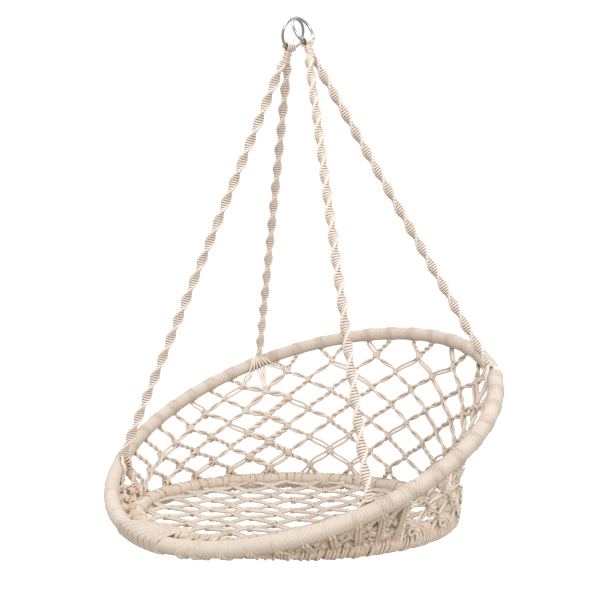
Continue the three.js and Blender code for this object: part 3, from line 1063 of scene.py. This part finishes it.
def add_seat_border(cords):
    """Slanting half turns under the seat ring, and the two cords inside it that carry the seat net."""
    count = int(math.tau * SEAT_RADIUS / BORDER_PITCH)
    for i in range(count):
        angle = 360 * (i + (0.22 if i % 2 else 0) + 0.15 * rng.random()) / count
        section = np.radians(np.linspace(-176 + 14 * rng.random(), 58 + 26 * rng.random(), BORDER_STEPS))
        slide = (0.012 + 0.006 * rng.random()) * np.linspace(-0.5, 0.5, BORDER_STEPS) + 0.003 * rng.random()
        outward, tangent, normal = ring_axes(angle + np.degrees(slide / SEAT_RADIUS), 0)
        lump = 1.1 * rng.random() * np.sin(np.linspace(0, math.pi, BORDER_STEPS))
        reach = WRAP_RADIUS + BORDER_CORD * (0.30 + lump)
        path = SEAT_CENTRE + SEAT_RADIUS * outward + reach[:, None] * circle(section, outward, normal)
        cords.sweep(path, BORDER_CORD * (0.86 + 0.30 * rng.random()), tangent, sides=7, weight=1.0)
    angle = np.linspace(0, 360, CARRIER_STEPS, endpoint=False)
    outward, _, normal = ring_axes(angle, 0)
    for drop, inset in ((0.0052, 0.0005), (0.0098, 0.0030)):
        wave = 0.0007 * np.sin(np.radians(angle) * 29)
        reach = SEAT_RADIUS - WRAP_RADIUS - CARRIER_CORD + inset + wave
        path = SEAT_CENTRE + reach[:, None] * outward - (drop + wave)[:, None] * normal
        cords.sweep(path, CARRIER_CORD, normal, sides=7, closed=True)


# Studio

CAMERA_AZIMUTH = 41.7
CAMERA_ELEVATION = -0.4
CAMERA_DISTANCE = 1.812
CAMERA_LENS = 55.56  # mm, in front of a sensor of 36 mm
CAMERA_AIM_RIGHT = 0.0039  # from the hook's plumb line
CAMERA_AIM_HEIGHT = -0.5487
FLOOR_DROP = 0.35
LAMP_AIM = Vector((0, 0, -0.7))
SKY = [  # a direction's height, from 0 straight down to 1 straight up, and the light from there
    (0.0, (0.40, 0.36, 0.31)),
    (0.42, (0.58, 0.53, 0.47)),
    (0.50, (0.80, 0.765, 0.73)),
    (0.56, (0.86, 0.85, 0.84)),
    (1.0, (0.85, 0.85, 0.86)),
]


def add_backdrop():
    """A round pale floor that rises into a wall all round. It takes no part in lighting the object."""
    floor_z = cad_box[0].z - FLOOR_DROP
    radius, bend, rise, segments = 7.0, 2.0, 9.0, 64
    profile = [(0.001, 0.0), (3.0, 0.0)]
    profile += [(radius - bend + bend * math.sin(a), bend - bend * math.cos(a))
                for a in np.linspace(0, math.pi / 2, 12)]
    profile.append((radius, rise))
    verts = [(r * math.cos(a), r * math.sin(a), floor_z + z)
             for a in np.linspace(0, math.tau, segments, endpoint=False) for r, z in profile]
    n = len(profile)
    faces = [(s * n + i, (s + 1) % segments * n + i, (s + 1) % segments * n + i + 1, s * n + i + 1)
             for s in range(segments) for i in range(n - 1)]
    mesh = bpy.data.meshes.new("backdrop")
    mesh.from_pydata(verts, [], faces)
    mesh.polygons.foreach_set("use_smooth", [True] * len(faces))
    nodes = Nodes("backdrop_white")
    nodes.set(Base_Color=(0.9, 0.9, 0.9, 1), Roughness=1, Specular_IOR_Level=0)
    nodes.set(Emission_Color=(1, 1, 1, 1), Emission_Strength=0.5)
    mesh.materials.append(nodes.material)
    backdrop = bpy.data.objects.new("backdrop", mesh)
    backdrop.visible_diffuse = backdrop.visible_glossy = backdrop.visible_shadow = False
    scene.collection.objects.link(backdrop)


def add_sky():
    """Soft light from all round, brighter from above."""
    world = bpy.data.worlds.new("studio")
    scene.world = world
    world.use_nodes = True
    tree = world.node_tree
    kinds = ("TexCoord", "SeparateXYZ", "Math", "ValToRGB")
    place, split, height, ramp = [tree.nodes.new("ShaderNode" + kind) for kind in kinds]
    height.operation = "MULTIPLY_ADD"
    height.inputs[1].default_value = height.inputs[2].default_value = 0.5
    set_ramp(ramp, SKY)
    tree.links.new(place.outputs["Generated"], split.inputs[0])
    tree.links.new(split.outputs["Z"], height.inputs[0])
    tree.links.new(height.outputs[0], ramp.inputs[0])
    tree.links.new(ramp.outputs[0], tree.nodes["Background"].inputs[0])


def add_lamp(name, place, size, power):
    """A lamp aimed at the chair. Its place is given as if the camera looked along +Y."""
    lamp = bpy.data.lights.new(name, "AREA")
    lamp.size, lamp.energy = size, power
    holder = bpy.data.objects.new(name, lamp)
    holder.location = Matrix.Rotation(math.radians(CAMERA_AZIMUTH), 4, "Z") @ Vector(place)
    aim = LAMP_AIM - holder.location
    holder.rotation_euler = aim.to_track_quat("-Z", "Y").to_euler()
    scene.collection.objects.link(holder)


def add_camera():
    a, e = math.radians(CAMERA_AZIMUTH), math.radians(CAMERA_ELEVATION)
    right = Vector((math.cos(a), math.sin(a), 0))
    back = Vector((math.sin(a) * math.cos(e), -math.cos(a) * math.cos(e), math.sin(e)))
    camera = bpy.data.cameras.new("camera")
    camera.sensor_width = 36
    camera.lens = CAMERA_LENS
    holder = bpy.data.objects.new("camera", camera)
    holder.location = right * CAMERA_AIM_RIGHT + Vector((0, 0, CAMERA_AIM_HEIGHT)) + back * CAMERA_DISTANCE
    holder.rotation_euler = (-back).to_track_quat("-Z", "Y").to_euler()
    scene.collection.objects.link(holder)
    scene.camera = holder


add_camera()
scene.view_settings.view_transform = "Standard"
add_backdrop()
add_sky()
add_lamp("overhead", (-0.6, -0.6, 1.6), 1.4, 21)
add_lamp("front", (1.2, -4.2, 0.3), 2.4, 76)
for rope in ROPES:
    add_rope(*rope)
    add_rope_end(*rope)
    paint_node(f"rope_core_{rope[0]}", LIT_ROPE_COTTON)
for eye_side, eye_word in ((-1, "right"), (1, "left")):
    add_hanging_ring(eye_side, eye_word)
    add_rope_head(eye_side, eye_word)
add_wrap("hoop_cord_wrap", HOOP, "basket", "hoop_wrap", 28)
add_wrap("seat_cord_wrap", SEAT, "seat", "seat_ring_wrap", 26)
for steel in ("hoop_tube", "hoop_spigot", "seat_ring_tube", "seat_ring_spigot"):
    paint_node(steel, STEEL)
add_side_net()
add_net_bindings()
add_front_lacing()
add_seat_net()
